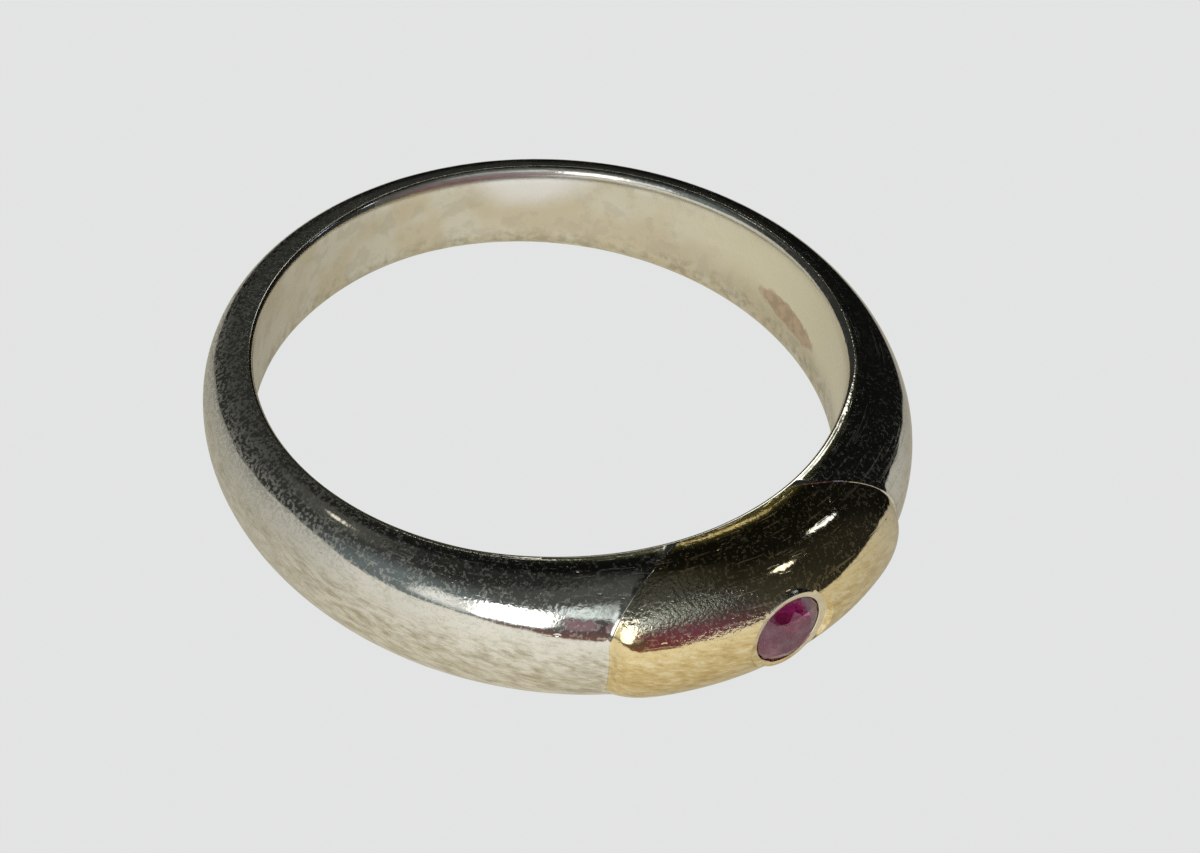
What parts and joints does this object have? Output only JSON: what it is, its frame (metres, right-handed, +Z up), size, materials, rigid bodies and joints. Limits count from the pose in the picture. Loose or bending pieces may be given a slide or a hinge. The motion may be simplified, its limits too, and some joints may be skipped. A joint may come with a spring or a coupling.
{
  "type": "inlay band ring",
  "caption": "Tapered silver finger ring with a thick gold inlay cap let into its wide front and a round red stone set flush in the gold.",
  "frame": {"origin": "centre of the part's box at its underside, on the surface that the ring lies on", "axes": "+Z up from that surface, -Y towards the gold cap and the stone, +X across the ring; the finger's axis leans 2.8 degrees from +Z towards +Y, because the rims draw together at the back"},
  "size_m": [0.0208, 0.022, 0.0047],
  "materials": {
    "silver": "worn polish, fine scratches, slightly tarnished inside",
    "gold": "worn polish, fine scratches and small pits",
    "ruby": "polished facets, a little dust"
  },
  "bodies": {
    "root": {"band": "silver", "inlay": "gold", "stone": "ruby"}
  },
  "joints": []
}
